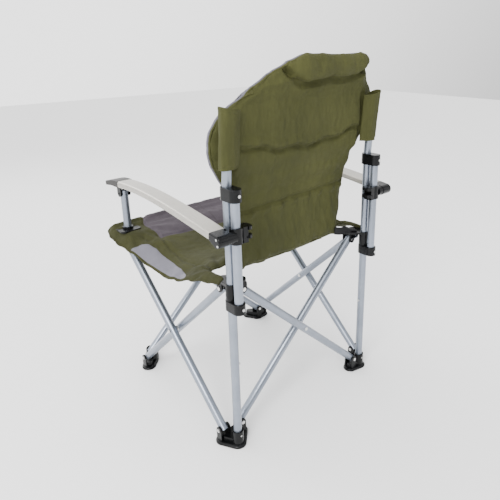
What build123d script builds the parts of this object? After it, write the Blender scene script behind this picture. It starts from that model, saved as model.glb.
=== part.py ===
from build123d import *
import math
import os

# Folding camp chair with hard armrests. Millimetres, +Z up, front towards -Y, the sitter's left is +X.
# Four scissor crosses join four corner feet to four corner hubs. The rear hubs slide on the rear posts,
# and each armrest is pinned to a clamp that slides on a short rail behind its rear post.

# Scissor frame
tube_outer = 22.0
tube_wall = 1.2
pin_spacing = 438.0  # foot pin to foot pin, the same from left to right and from front to rear
foot_pin_z = 40.0
hub_pin_z = 447.0
plane_gap = 3.6  # between the two tubes of a cross
tube_end = 6.0  # tube left beyond each end pin
side_plane_outboard = 37.4  # from the end pins of the rear and front crosses to the plane of a side cross

# Rear posts, their rails and the depth of the chair
post_outboard = 31.5  # from the end pins of the rear cross to the post
rear_post_y = 253.0
post_bottom_z = 10.0
post_bend_z = 716.0
post_lean = 5.0  # degrees rearward above the bend
post_bend_radius = 60.0
post_top_z = 866.0
rail_setback = 27.2
side_pin_setback = 37.5  # rear side pins, in front of the post
rear_cross_clear = 9.2  # from the post line to the nearest side of a tube in the rear cross plane
front_cross_clear = 0.5  # the same, ahead of the front side pins
stud_z = 242.0

# Brackets, hubs and feet
lower_bracket_below = (44.0, 18.0)  # below the hub pins
upper_bracket_z = (679.0, 709.0)
rail_inset = 6.0
bracket_wall = 4.5
hub_plate_above = (17.0, 24.0)  # above the hub pins
hub_wall = 3.0
slide_gap = 0.3
foot_pad = 8.0
foot_edge = 2.5
foot_boss_inset = 5.0
foot_boss = 22.0
foot_socket_top = 46.0
foot_toe = (16.0, 30.0)  # front feet reach this far inboard and ahead of their front pin
socket_wall = 4.0
ear_thickness = 4.0
ear_radius = 10.0
side_gap = 0.4  # between a tube and the ears beside it

# Pins and rivets
pin_radius = 3.0
running_gap = 0.05
open_gap = 0.4  # at the pins where the linkage is opened
head_radius = 5.0
head_height = 2.0
head_gap = 0.2
screw_radius = 2.0
screw_head_radius = 3.6
screw_head_height = 2.0

# Armrests
arm_post_outboard = 44.0  # from the end pins of the front cross to the armrest post
arm_post_seat = 3.0  # above the hub plate
arm_socket_height = 25.0
arm_pin_z = 598.0
arm_post_above_pin = 8.0
arm_width = 45.0
arm_thickness = 18.0
arm_wall = 2.4
arm_front_z = 618.0  # underside at the front end of the extrusion
arm_rear_z = 599.0  # underside at its rear end
arm_crown = 15.0
arm_bow = 4.6  # inboard at two thirds of its length
arm_edge_radius = 4.5
arm_front_ahead = 28.0  # front end of the extrusion, ahead of the rear post by the pin spacing and this
arm_rear_reach = -8.0
arm_cap_length = 90.0
arm_cap_drop = 16.0
shoe_length = 30.0
shoe_plate = 3.2
arm_hinge_reach = -33.0
arm_hinge_z = 600.0
arm_hinge_radius = 4.0
hinge_boss_radius = 14.0
clamp_ear = 8.0  # thickness of the clamp's ear beside the rear cap
hinge_end_wall = 4.0  # closes the outboard end of the hinge

# Rail clamp and its squeeze latch
clamp_z = (581.0, 619.0)
clamp_wall = 4.2
fin_width = 32.0
fin_reach = 39.0  # inboard of the rail
fin_thickness = 9.0
fin_corner = 10.0
latch_pin_clear = 6.0  # inboard of the clamp's ring
latch_z = 593.5
latch_gap = 1.2  # between the lever's plate and its housing

# Fabric
fabric_gap = 1.0
seat_side = 285.0
seat_front_ahead = 38.0
seat_thickness = 12.0
seat_front_rise = 12.0
seat_sag = 38.0
seat_back_clear = 84.0  # between the seat and the rear post line, in front of the back
corner_plate_size = (62.0, 54.0)
corner_plate_thickness = 5.0
sleeve_z = (749.0, 878.0)
sleeve_wall = 2.4
sleeve_radius = tube_outer / 2 + 0.6
back_bottom_z = 454.0
back_shoulder_z = 905.0
back_top_z = 978.0
back_bottom_half = 198.0
back_waist_half = 232.0
back_ear_half = 282.0
back_top_half = 205.0
back_thickness = 30.0
back_top_thickness = 46.0
back_bottom_ahead = 66.0
back_hem_z = 545.0
back_lumbar_ahead = 61.0
back_lumbar_z = 652.0
back_middle_ahead = 27.0
back_shoulder_ahead = 17.6
back_top_ahead = -16.0

# Places worked out from the sizes above
tube_radius = tube_outer / 2
end_pin_x = pin_spacing / 2
side_plane_x = end_pin_x + side_plane_outboard
rear_post_x = end_pin_x + post_outboard
arm_post_x = end_pin_x + arm_post_outboard
lower_bracket_z = tuple(hub_pin_z - below for below in lower_bracket_below)
hub_plate_z = tuple(hub_pin_z + above for above in hub_plate_above)
arm_post_bottom_z = hub_plate_z[1] + arm_post_seat
arm_socket_top = hub_plate_z[1] + arm_socket_height
arm_front_reach = pin_spacing + arm_front_ahead
latch_pin_reach = tube_radius + slide_gap + clamp_wall + latch_pin_clear
plane_step = tube_outer + plane_gap
outer_x = side_plane_x + plane_step / 2
inner_x = side_plane_x - plane_step / 2
rear_pin_y = rear_post_y - side_pin_setback
front_pin_y = rear_pin_y - pin_spacing
rear_cross_y = rear_post_y - tube_radius - rear_cross_clear
front_cross_y = front_pin_y - tube_radius - front_cross_clear
ahead_y = plane_step / 2
rail_y = rear_post_y + rail_setback
lug_half = tube_radius + side_gap + ear_thickness
bore_radius = tube_radius + running_gap
arm_hinge_y = rear_post_y - arm_hinge_reach
arm_inner_x = rear_post_x + tube_radius + slide_gap + clamp_wall + 0.6
arm_outer_x = arm_inner_x + arm_width
arm_front_y = rear_post_y - arm_front_reach
arm_rear_y = rear_post_y - arm_rear_reach
arm_rear_x = (arm_inner_x + arm_outer_x) / 2


def block(x, y, z):
    """Box between the pairs of limits x, y and z."""
    size = [high - low for low, high in (x, y, z)]
    centre = [(high + low) / 2 for low, high in (x, y, z)]
    return Pos(*centre) * Box(*size)


def rod(start, end, radius):
    run = Vector(*end) - Vector(*start)
    return extrude(Plane(origin=start, z_dir=run) * Circle(radius), run.length)


def bar(axis, at, radius, low, high):
    """Cylinder along X, Y or Z from low to high, through the point at."""
    index = "XYZ".index(axis)
    start = list(at)
    end = list(at)
    start[index] = low
    end[index] = high
    return rod(start, end, radius)


def tube(start, end, outer=tube_outer, wall=tube_wall):
    return rod(start, end, outer / 2) - rod(start, end, outer / 2 - wall)


def hull(circles, low, high):
    """Plate from z low to high around circles, each given as (x, y, radius)."""
    edges = []
    for x, y, radius in circles:
        edges += (Pos(x, y) * Circle(radius)).edges()
    return Pos(0, 0, low) * extrude(make_hull(edges), high - low)


def mirrored(shape):
    return mirror(shape, Plane.YZ)


# The eight tubes: the axis of their pins, the foot pin and the hub pin
def scissor_tubes():
    tubes = {}
    for side, sign in (("left", 1), ("right", -1)):
        outer = sign * outer_x
        inner = sign * inner_x
        tubes[f"side_tube_{side}_outer"] = ("X", (outer, rear_pin_y), (outer, front_pin_y))
        tubes[f"side_tube_{side}_inner"] = ("X", (inner, front_pin_y), (inner, rear_pin_y))
    for place, y in (("rear", rear_cross_y), ("front", front_cross_y)):
        tubes[f"{place}_tube_ahead"] = ("Y", (end_pin_x, y - ahead_y), (-end_pin_x, y - ahead_y))
        tubes[f"{place}_tube_behind"] = ("Y", (-end_pin_x, y + ahead_y), (end_pin_x, y + ahead_y))
    for name, (axis, low, high) in tubes.items():
        tubes[name] = (axis, (*low, foot_pin_z), (*high, hub_pin_z))
    return tubes


tubes = scissor_tubes()
crosses = {
    "side_tube_left_outer": "side_tube_left_inner",
    "side_tube_right_outer": "side_tube_right_inner",
    "rear_tube_ahead": "rear_tube_behind",
    "front_tube_ahead": "front_tube_behind",
}


def outboard(name, x):
    """Sides of a tube that carry an ear: the inner side tubes have one on their outboard side only."""
    if name.endswith("_inner"):
        return (1,) if x > 0 else (-1,)
    return (-1, 1)


def middle(low, high):
    return tuple((a + b) / 2 for a, b in zip(low, high))


def scissor_tube(axis, low, high):
    along = (Vector(*high) - Vector(*low)).normalized() * tube_end
    shape = tube(Vector(*low) - along, Vector(*high) + along)
    index = "XYZ".index(axis)
    for pin in (low, middle(low, high), high):
        shape -= bar(axis, pin, pin_radius + running_gap, pin[index] - tube_outer, pin[index] + tube_outer)
    return shape


def rivet(axis, at, low, high, heads=(-1, 1)):
    """Pin along axis over the span from low to high, with a head beyond each end named in heads."""
    if -1 in heads:
        low -= head_gap
    if 1 in heads:
        high += head_gap
    shape = bar(axis, at, pin_radius, low, high)
    if -1 in heads:
        shape += bar(axis, at, head_radius, low - head_height, low)
    if 1 in heads:
        shape += bar(axis, at, head_radius, high, high + head_height)
    return shape


def tube_rivets(name):
    """End rivets of a tube, and on the first tube of a cross its middle rivet with a spacer."""
    axis, low, high = tubes[name]
    index = "XYZ".index(axis)
    heads = outboard(name, low[0])
    below = lug_half if -1 in heads else tube_radius - tube_wall / 2
    above = lug_half if 1 in heads else tube_radius - tube_wall / 2
    pieces = [rivet(axis, pin, pin[index] - below, pin[index] + above, heads) for pin in (low, high)]
    if name in crosses:
        mid = middle(low, high)
        other = tubes[crosses[name]][1][index]
        near, far = sorted((mid[index], other))
        pieces.append(rivet(axis, mid, near - tube_radius, far + tube_radius))
        spacer_low = near + tube_radius + head_gap
        spacer_high = far - tube_radius - head_gap
        spacer = bar(axis, mid, head_radius + 2, spacer_low, spacer_high)
        pieces.append(spacer - bar(axis, mid, pin_radius + running_gap, spacer_low, spacer_high))
    return Compound(children=pieces)


def lug(axis, pin, root_z, gap=running_gap, sides=(-1, 1)):
    """Ears across axis on the given sides of a tube end, with necks to root_z and a hole for the pin."""
    index = "XYZ".index(axis)
    z = sorted((pin[2], root_z))
    shape = None
    for side in sides:
        span = sorted((pin[index] + side * (tube_radius + side_gap), pin[index] + side * lug_half))
        across = [(pin[0] - ear_radius, pin[0] + ear_radius), (pin[1] - ear_radius, pin[1] + ear_radius)]
        across[index] = span
        ear = bar(axis, pin, ear_radius, *span) + block(*across, z)
        shape = ear if shape is None else shape + ear
    hole = bar(axis, pin, pin_radius + gap, pin[index] - tube_outer, pin[index] + tube_outer)
    return shape - hole


def foot(side_tube, cross_tube, post=None, cross_gap=running_gap):
    """Corner foot: a pad on the ground, ears for two tubes and, at the rear, a socket for the post."""
    side_pin = tubes[side_tube][1]
    cross_pin = tubes[cross_tube][1]
    corners = [(side_pin[0], side_pin[1], lug_half), (cross_pin[0], cross_pin[1], lug_half)]
    if post:
        corners.append((*post, tube_radius + socket_wall))
    else:
        inboard = -math.copysign(foot_toe[0], cross_pin[0])
        corners.append((cross_pin[0] + inboard, cross_pin[1] - foot_toe[1], lug_half))
    shape = hull(corners, 0, foot_pad)
    shape = chamfer(shape.faces().sort_by(Axis.Z)[-1].edges(), foot_edge)
    inset = [(x, y, radius - foot_boss_inset) for x, y, radius in corners]
    shape += hull(inset, foot_pad, foot_boss)
    shape += lug("X", side_pin, foot_pad, sides=outboard(side_tube, side_pin[0]))
    shape += lug("Y", cross_pin, foot_pad, cross_gap)
    if post:
        shape += bar("Z", (*post, 0), tube_radius + socket_wall, 0, foot_socket_top)
        shape -= bar("Z", (*post, 0), bore_radius, post_bottom_z, foot_socket_top)
        shape -= foot_cross_pin(post, running_gap)
    return shape


def foot_cross_pin(post, gap=0.0):
    """Pin that holds the post in its foot."""
    reach = tube_radius + socket_wall
    return bar("Y", (*post, foot_boss + 12), 2.5 + gap, post[1] - reach, post[1] + reach)


def post_path(x):
    """Centreline of a rear post: upright, then leaning rearward above the bend."""
    lean = math.tan(math.radians(post_lean)) * (post_top_z - post_bend_z)
    points = [
        (x, rear_post_y, post_bottom_z),
        (x, rear_post_y, post_bend_z),
        (x, rear_post_y + lean, post_top_z),
    ]
    return FilletPolyline(*points, radius=post_bend_radius)


def lean_y(z):
    """How far rearward the leaning part of the post stands at height z."""
    return math.tan(math.radians(post_lean)) * (z - post_bend_z)


def rear_post(x):
    path = post_path(x)
    base = Plane(origin=(x, rear_post_y, post_bottom_z))
    shape = sweep(base * Circle(tube_radius), path) - sweep(base * Circle(tube_radius - tube_wall), path)
    inboard = -math.copysign(1, x)
    stud_from, stud_to = sorted((x, x + inboard * tube_outer))
    shape -= bar("X", (x, rear_post_y, stud_z), pin_radius + running_gap, stud_from, stud_to)
    return shape - foot_cross_pin((x, rear_post_y), running_gap)


def rail(x):
    low = lower_bracket_z[0] + rail_inset
    high = upper_bracket_z[1] - rail_inset
    return tube((x, rail_y, low), (x, rail_y, high))


def bracket(x, limits, rail_low, rail_high):
    """Block that ties the rail to the post, bored for both tubes and for its screw."""
    radius = tube_radius + bracket_wall
    shape = hull([(x, rear_post_y, radius), (x, rail_y, radius)], *limits)
    shape = fillet(shape.edges().group_by(Axis.Z)[-1], 1.5)
    shape -= bar("Z", (x, rear_post_y, 0), bore_radius, *limits)
    shape -= bar("Z", (x, rail_y, 0), bore_radius, rail_low, rail_high)
    height = sum(limits) / 2
    wall = rail_y + tube_radius
    return shape - bar("Y", (x, rail_y, height), screw_radius + running_gap, wall, wall + bracket_wall + 1)


def bracket_screw(x, limits):
    height = sum(limits) / 2
    face = rail_y + tube_radius + bracket_wall
    shape = bar("Y", (x, rail_y, height), screw_radius, rail_y + tube_radius + 0.3, face)
    return shape + bar("Y", (x, rail_y, height), screw_head_radius, face, face + screw_head_height)


def post_fasteners(x):
    inboard = -math.copysign(1, x)
    start = x + inboard * (tube_radius - 2)
    stud_from, stud_to = sorted((start, x + inboard * (tube_radius + 5)))
    pieces = [bracket_screw(x, limits) for limits in (lower_bracket_z, upper_bracket_z)]
    pieces.append(bar("X", (x, rear_post_y, stud_z), pin_radius, stud_from, stud_to))
    pieces.append(foot_cross_pin((x, rear_post_y)))
    return Compound(children=pieces)


def rear_hub(x, side_tube, cross_tube):
    """Slider on the rear post: a collar, a flat top plate and ears for a side tube and a rear tube."""
    side_pin = tubes[side_tube][2]
    cross_pin = tubes[cross_tube][2]
    radius = tube_radius + slide_gap + hub_wall
    low = lower_bracket_z[1] + slide_gap
    top = hub_plate_z[1]
    corners = [(x, rear_post_y, radius), (*side_pin[:2], lug_half), (*cross_pin[:2], lug_half)]
    shape = hull(corners, *hub_plate_z)
    shape += bar("Z", (x, rear_post_y, 0), radius, low, top)
    shape += lug("X", side_pin, hub_plate_z[0], open_gap, outboard(side_tube, x))
    shape += lug("Y", cross_pin, hub_plate_z[0])
    web = math.copysign(tube_radius + hub_wall, x)
    for y_low, y_high in cross_web_limits(cross_pin[1]):
        start = cross_pin[0] + math.copysign(ear_radius / 2, x)
        shape += block(sorted((start, x - web)), (y_low, y_high), (hub_pin_z, hub_plate_z[0]))
    shape -= bar("Z", (x, rear_post_y, 0), tube_radius + slide_gap, low, top)
    clear = rail_y - tube_radius - slide_gap - hub_wall
    shape -= block((x - 40, x + 40), (clear, rail_y + 20), (low, top))
    strap_hole = (x * 0.94, (side_pin[1] + rear_post_y) / 2, 0)
    return shape - bar("Z", strap_hole, 4.0, *hub_plate_z)


def cross_web_limits(cross_y):
    """Depth limits of the webs that carry the ears of a rear tube to the collar."""
    webs = []
    for side in (-1, 1):
        limits = sorted((cross_y + side * (tube_radius + side_gap), cross_y + side * lug_half))
        if limits[0] > rear_post_y - tube_radius - hub_wall:
            webs.append(limits)
    return webs


def front_hub(x, side_tube, cross_tube, cross_gap=running_gap):
    """Corner hub under the seat: a plate, a socket for the armrest post and ears for two tubes."""
    side_pin = tubes[side_tube][2]
    cross_pin = tubes[cross_tube][2]
    socket = tube_radius + socket_wall
    corners = [(x, front_pin_y, socket), (*side_pin[:2], lug_half), (*cross_pin[:2], lug_half)]
    shape = hull(corners, *hub_plate_z)
    shape += bar("Z", (x, front_pin_y, 0), socket, hub_plate_z[0], arm_socket_top)
    shape += lug("X", side_pin, hub_plate_z[0])
    shape += lug("Y", cross_pin, hub_plate_z[0], cross_gap)
    return shape - bar("Z", (x, front_pin_y, 0), bore_radius, arm_post_bottom_z, arm_socket_top)


def arm_post(x):
    shape = tube((x, front_pin_y, arm_post_bottom_z), (x, front_pin_y, arm_pin_z + arm_post_above_pin))
    return shape - arm_pin(x, running_gap)


def arm_pin(x, gap=0.0):
    """Pin through the top of the armrest post and the ears of its shoe."""
    return bar("X", (x, front_pin_y, arm_pin_z), pin_radius + gap, x - lug_half, x + lug_half)


def arm_shoe(x):
    """Saddle on the armrest post: a plate under the armrest with an ear on each side of the post."""
    top = arm_front_z - slide_gap
    half = shoe_length / 2
    depth = (front_pin_y - half, front_pin_y + half)
    shape = block((x - lug_half, x + lug_half), depth, (top - shoe_plate, top))
    shape = fillet(shape.edges().filter_by(Axis.Z), 4)
    shape += lug("X", (x, front_pin_y, arm_pin_z), top - shoe_plate / 2)
    return shape


def arm_line():
    """Plan centreline of the left armrest, from front to rear, where it passes outboard of the post."""
    length = arm_front_reach - arm_rear_reach
    return [
        (arm_post_x - 1, arm_front_y),
        (arm_post_x + 7.5, arm_front_y + length * 0.26),
        (arm_rear_x - arm_bow, arm_front_y + length * 0.655),
        (arm_rear_x, arm_rear_y),
    ]


def arm_plan(width):
    """Plan outline of the extrusion at the given width."""
    inner = Spline(*[(x - width / 2, y) for x, y in arm_line()])
    outer = Spline(*[(x + width / 2, y) for x, y in arm_line()])
    front = Line(inner @ 0, outer @ 0)
    rear = Line(inner @ 1, outer @ 1)
    return make_face([inner, outer, front, rear])


def arm_profile(inset):
    """Side outline of the extrusion in the YZ plane, crowned along its length."""
    mid_y = (arm_front_y + arm_rear_y) / 2
    mid_z = (arm_front_z + arm_rear_z) / 2 + arm_crown
    thick = arm_thickness - 2 * inset
    places = [(arm_front_y, arm_front_z), (mid_y, mid_z), (arm_rear_y, arm_rear_z)]
    low = ThreePointArc(*[(y, z + inset) for y, z in places])
    high = ThreePointArc(*[(y, z + inset + thick) for y, z in places])
    return Plane.YZ * make_face([low, high, Line(low @ 0, high @ 0), Line(low @ 1, high @ 1)])


def arm_bar(width, inset):
    plan = extrude(Pos(0, 0, arm_rear_z - 50) * arm_plan(width), 150)
    return plan & extrude(arm_profile(inset), arm_outer_x + 50)


def armrest():
    """Hollow extrusion with rounded long edges, the largest four of its edges."""
    shape = arm_bar(arm_width, 0)
    shape = fillet(shape.edges().sort_by(SortBy.LENGTH)[-4:], arm_edge_radius)
    return shape - arm_bar(arm_width - 2 * arm_wall, arm_wall)


def arm_front_cap():
    """Rounded plastic nose that closes the front of the armrest and dips forward."""
    tip_y = arm_front_y - arm_cap_length
    centre = arm_line()[0][0]
    plan = Pos(centre, (tip_y + arm_front_y) / 2) * Rectangle(arm_width, arm_cap_length)
    plan = fillet(plan.vertices().group_by(Axis.Y)[0], arm_width * 0.42)
    top = arm_front_z + arm_thickness
    flat_y = front_pin_y - shoe_length
    tip = (tip_y, top - arm_cap_drop)
    crest = ThreePointArc((arm_front_y, top), (arm_front_y - arm_cap_length * 0.55, top - 4), tip)
    belly = Polyline(
        tip,
        (tip_y + 4, top - arm_cap_drop - 8),
        (flat_y, arm_front_z),
        (arm_front_y, arm_front_z),
        (arm_front_y, top),
    )
    side = Plane.YZ * make_face([crest, belly])
    shape = extrude(Pos(0, 0, arm_rear_z - 50) * plan, 150) & extrude(side, arm_outer_x + 50)
    return fillet(shape.faces().sort_by(Axis.Z)[-1].edges().sort_by(Axis.Y)[:-1], 2.0)


def arm_rear_cap():
    """Rounded block that closes the rear of the armrest and hangs on the hinge beside the rail clamp."""
    hinge = (arm_hinge_y, arm_hinge_z)
    nose_radius = arm_thickness / 2
    nose = (arm_rear_y + 1, arm_rear_z + nose_radius)
    edges = []
    for (y, z), radius in ((hinge, hinge_boss_radius), (nose, nose_radius)):
        edges += (Pos(y, z) * Circle(radius)).edges()
    side = Plane.YZ * make_hull(edges)
    inner_x = arm_inner_x + clamp_ear + 2 * slide_gap
    shape = Pos(inner_x, 0, 0) * extrude(side, arm_outer_x - inner_x)
    shape -= block((0, arm_outer_x), (arm_rear_y - 20, arm_rear_y), (arm_rear_z - 40, arm_rear_z + 40))
    shape = fillet(shape.faces().sort_by(Axis.X)[-1].edges().sort_by(Axis.Y)[1:], 3.5)
    end_z = (arm_rear_z, arm_rear_z + arm_thickness)
    shape += block((arm_inner_x + 2, inner_x + 2), (arm_rear_y, arm_rear_y + 5), end_z)
    return shape - arm_hinge_pin(running_gap)


def arm_hinge_pin(gap=0.0):
    """Pin of the left armrest's hinge, from the rail clamp's ear into the rear cap."""
    end = arm_outer_x - hinge_end_wall + gap
    return bar("X", (0, arm_hinge_y, arm_hinge_z), arm_hinge_radius + gap, arm_inner_x - 1, end)


def arm_fasteners():
    """Hinge pin of the left armrest and the two screws of its rear cap."""
    pieces = [arm_hinge_pin()]
    for back, up in ((3.0, 7.6), (7.0, -6.6)):
        at = (0, arm_hinge_y + back, arm_hinge_z + up)
        pieces.append(bar("X", at, screw_head_radius - 1, arm_outer_x, arm_outer_x + screw_head_height / 2))
    return Compound(children=pieces)


def rail_clamp():
    """Left clamp: a ring on the rail, the ear of the armrest hinge and the fixed fin of the latch."""
    ring_radius = tube_radius + slide_gap + clamp_wall
    shape = bar("Z", (rear_post_x, rail_y, 0), ring_radius, *clamp_z)
    ear_x = (rear_post_x + tube_radius - 2, arm_inner_x + clamp_ear)
    shape += bar("X", (0, arm_hinge_y, arm_hinge_z), hinge_boss_radius - 1, *ear_x)
    shape -= arm_hinge_pin(running_gap)
    shape += latch_block()
    shape += fin(clamp_z[1] - fin_thickness)
    shape -= bar("Z", (rear_post_x, rail_y, 0), tube_radius + slide_gap, *clamp_z)
    clear = rail_y - tube_radius - slide_gap - (rail_setback - tube_outer - 2 * slide_gap - hub_wall) / 2
    shape -= block((rear_post_x - 16, rear_post_x + 16), (rear_post_y - 5, clear), clamp_z)
    return shape


def latch_place():
    return (rear_post_x - latch_pin_reach, rail_y, latch_z)


def latch_block():
    """Housing of the latch lever on the inboard side of the ring, slotted for the lever's root."""
    pin_x, y, z = latch_place()
    half = fin_width / 2 - 3
    shape = block((pin_x - 4, rear_post_x - tube_radius), (y - half, y + half), clamp_z)
    root_half = half - 4
    shape -= block((pin_x - 5, pin_x + 5.5), (y - root_half, y + root_half), (z - 6.5, z + 6.5))
    return shape - latch_pin(running_gap)


def latch_pin(gap=0.0):
    pin_x, y, z = latch_place()
    half = fin_width / 2 - 3
    return bar("Y", (pin_x, y, z), 2.0 + gap, y - half, y + half)


def fin(low, root_gap=0.0):
    """Rounded finger plate inboard of the clamp, its underside at z low."""
    tip_x = rear_post_x - fin_reach
    root_x = latch_place()[0] - 4 - root_gap
    plate = Pos((tip_x + root_x) / 2, rail_y) * Rectangle(root_x - tip_x, fin_width)
    plate = fillet(plate.vertices().group_by(Axis.X)[0], fin_corner)
    shape = Pos(0, 0, low) * extrude(plate, fin_thickness)
    return chamfer(shape.edges().group_by(Axis.Z)[-1].sort_by(Axis.X)[:-1], 1.2)


def latch_lever():
    """Lower fin, which is squeezed towards the upper one and turns on a pin in the housing."""
    pin_x, y, z = latch_place()
    root_half = fin_width / 2 - 7.5
    shape = fin(z - fin_thickness / 2, latch_gap)
    shape += bar("Y", (pin_x, y, z), fin_thickness / 2, y - root_half, y + root_half)
    neck_z = (z - fin_thickness / 2, z + fin_thickness / 2)
    shape += block((pin_x - 6, pin_x), (y - root_half, y + root_half), neck_z)
    shape -= bar("Y", (pin_x, y, z), 2.0 + running_gap, y - fin_width, y + fin_width)
    return shape


def corner_plate(x):
    """Plate that clamps the seat's corner over the front hub, around the armrest post's socket."""
    width, depth = corner_plate_size
    low = hub_plate_z[1] + 2 * fabric_gap + seat_thickness
    outline = Pos(x, front_pin_y) * Rectangle(width, depth)
    outline = fillet(outline.vertices(), 12)
    shape = Pos(0, 0, low) * extrude(outline, corner_plate_thickness)
    shape = chamfer(shape.edges().group_by(Axis.Z)[-1], 0.8)
    return shape - bar("Z", (x, front_pin_y, 0), tube_radius + socket_wall + slide_gap, low - 1, low + 10)


def seat_half():
    """Left half of the seat: a sling between the front and rear hubs, notched in front of the back."""
    front_y = front_pin_y - seat_front_ahead
    flat = corner_plate_size[1] / 2 + 2
    rear_y = rear_post_y - tube_radius - hub_wall - 3
    back_y = rear_post_y - seat_back_clear
    hub_z = hub_plate_z[1] + fabric_gap
    curve = [
        (front_pin_y + flat, hub_z),
        ((front_pin_y + rear_pin_y) / 2, hub_z - seat_sag),
        (rear_pin_y - flat, hub_z),
    ]
    flat_run = [(rear_y, hub_z), (rear_y, hub_z + seat_thickness), (curve[2][0], hub_z + seat_thickness)]
    nose = [
        (front_pin_y + flat, hub_z + seat_thickness),
        (front_pin_y - flat, hub_z + seat_thickness),
        (front_y, hub_z + seat_thickness + seat_front_rise),
        (front_y, hub_z + seat_front_rise),
        (front_pin_y - flat, hub_z),
        (front_pin_y + flat, hub_z),
    ]
    low = ThreePointArc(*curve)
    high = ThreePointArc(*[(y, z + seat_thickness) for y, z in reversed(curve)])
    side = Plane.YZ * make_face([low, Polyline(curve[2], *flat_run), high, Polyline(*nose)])
    shape = extrude(side, seat_side)
    notch = back_bottom_half + 12
    shape -= block((-1, notch), (back_y, rear_y + 1), (hub_z - 60, hub_z + 60))
    hole_radius = tube_radius + socket_wall + fabric_gap
    return shape - bar("Z", (arm_post_x, front_pin_y, 0), hole_radius, hub_z - 40, hub_z + 40)


def back_outline():
    """Half outline of the back in the XZ plane, from the centre of the hem to the centre of the top."""
    return [
        (0, back_bottom_z),
        (back_bottom_half - 6, back_bottom_z + 4),
        (back_bottom_half, back_bottom_z + 14),
        (back_bottom_half + 8, back_bottom_z + 90),
        (back_waist_half - 6, sleeve_z[0] - 30),
        (back_ear_half - 14, sleeve_z[0] + 5),
        (back_ear_half, sleeve_z[0] + 55),
        (back_ear_half - 6, sleeve_z[1] - 20),
        (back_waist_half, back_shoulder_z),
        (back_top_half + 6, back_top_z - 32),
        (back_top_half - 12, back_top_z - 6),
        (0, back_top_z),
    ]


def back_panel():
    """Padded back: leans rearward, passes in front of the posts and thickens at the head."""
    half = back_outline()
    whole = half + [(-x, z) for x, z in reversed(half[1:-1])]
    front = Plane.XZ * make_face(Polyline(*whole, close=True))
    slab = Pos(0, rear_post_y + 150, 0) * extrude(front, 400)
    spine = [
        (back_bottom_ahead, back_bottom_z - 2, back_thickness),
        (back_bottom_ahead, back_hem_z, back_thickness),
        (back_lumbar_ahead, back_lumbar_z, back_thickness),
        (back_middle_ahead, sleeve_z[0], back_thickness),
        (back_shoulder_ahead, sleeve_z[1] - 8, back_thickness + 3),
        (back_top_ahead, back_top_z + 2, back_top_thickness),
    ]
    front_edge = Spline(*[(rear_post_y - ahead - thick / 2, z) for ahead, z, thick in spine])
    rear_edge = Spline(*[(rear_post_y - ahead + thick / 2, z) for ahead, z, thick in spine])
    ends = [Line(front_edge @ 0, rear_edge @ 0), Line(front_edge @ 1, rear_edge @ 1)]
    side = Plane.YZ * make_face([front_edge, rear_edge, *ends])
    shape = slab & extrude(side, 2 * back_ear_half, both=True)
    for x in (-rear_post_x, rear_post_x):
        shape -= along_post(x, sleeve_radius + sleeve_wall + slide_gap, sleeve_z[0] - 30, sleeve_z[1] + 30)
    return shape


def along_post(x, radius, low_z, high_z):
    """Cylinder on the leaning top of a rear post."""
    return rod((x, rear_post_y + lean_y(low_z), low_z), (x, rear_post_y + lean_y(high_z), high_z), radius)


def back_sleeve(x):
    """Fabric pocket that slips over the top of a rear post."""
    return along_post(x, sleeve_radius + sleeve_wall, *sleeve_z) - along_post(x, sleeve_radius, *sleeve_z)


def frame_nodes():
    nodes = {}
    for name, (axis, low, high) in tubes.items():
        nodes[name] = scissor_tube(axis, low, high)
        nodes[f"{name}_rivets"] = tube_rivets(name)
    left_post = (rear_post_x, rear_post_y)
    right_post = (-rear_post_x, rear_post_y)
    nodes["foot_rear_left"] = foot("side_tube_left_outer", "rear_tube_ahead", left_post)
    nodes["foot_rear_right"] = foot("side_tube_right_outer", "rear_tube_behind", right_post)
    nodes["foot_front_left"] = foot("side_tube_left_inner", "front_tube_ahead")
    nodes["foot_front_right"] = foot("side_tube_right_inner", "front_tube_behind", cross_gap=open_gap)
    nodes["rear_hub_left"] = rear_hub(rear_post_x, "side_tube_left_inner", "rear_tube_behind")
    nodes["rear_hub_right"] = rear_hub(-rear_post_x, "side_tube_right_inner", "rear_tube_ahead")
    nodes["front_hub_left"] = front_hub(arm_post_x, "side_tube_left_outer", "front_tube_behind")
    nodes["front_hub_right"] = front_hub(-arm_post_x, "side_tube_right_outer", "front_tube_ahead", open_gap)
    return nodes


def post_nodes():
    nodes = {}
    for side, sign in (("left", 1), ("right", -1)):
        x = sign * rear_post_x
        nodes[f"rear_post_{side}"] = rear_post(x)
        nodes[f"rail_{side}"] = rail(x)
        low_limits = (lower_bracket_z[0] + rail_inset, lower_bracket_z[1])
        nodes[f"lower_bracket_{side}"] = bracket(x, lower_bracket_z, *low_limits)
        high_limits = (upper_bracket_z[0], upper_bracket_z[1] - rail_inset)
        nodes[f"upper_bracket_{side}"] = bracket(x, upper_bracket_z, *high_limits)
        nodes[f"post_fasteners_{side}"] = post_fasteners(x)
        nodes[f"arm_post_{side}"] = arm_post(sign * arm_post_x)
        nodes[f"arm_shoe_{side}"] = arm_shoe(sign * arm_post_x)
        nodes[f"corner_plate_{side}"] = corner_plate(sign * arm_post_x)
        nodes[f"back_sleeve_{side}"] = back_sleeve(x)
    return nodes


def arm_nodes():
    nodes = {}
    makers = {
        "armrest": armrest,
        "arm_front_cap": arm_front_cap,
        "arm_rear_cap": arm_rear_cap,
        "arm_fasteners": arm_fasteners,
        "rail_clamp": rail_clamp,
        "latch_lever": latch_lever,
        "seat": seat_half,
    }
    for name, maker in makers.items():
        left = maker()
        nodes[f"{name}_left"] = left
        nodes[f"{name}_right"] = mirrored(left)
    return nodes


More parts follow.
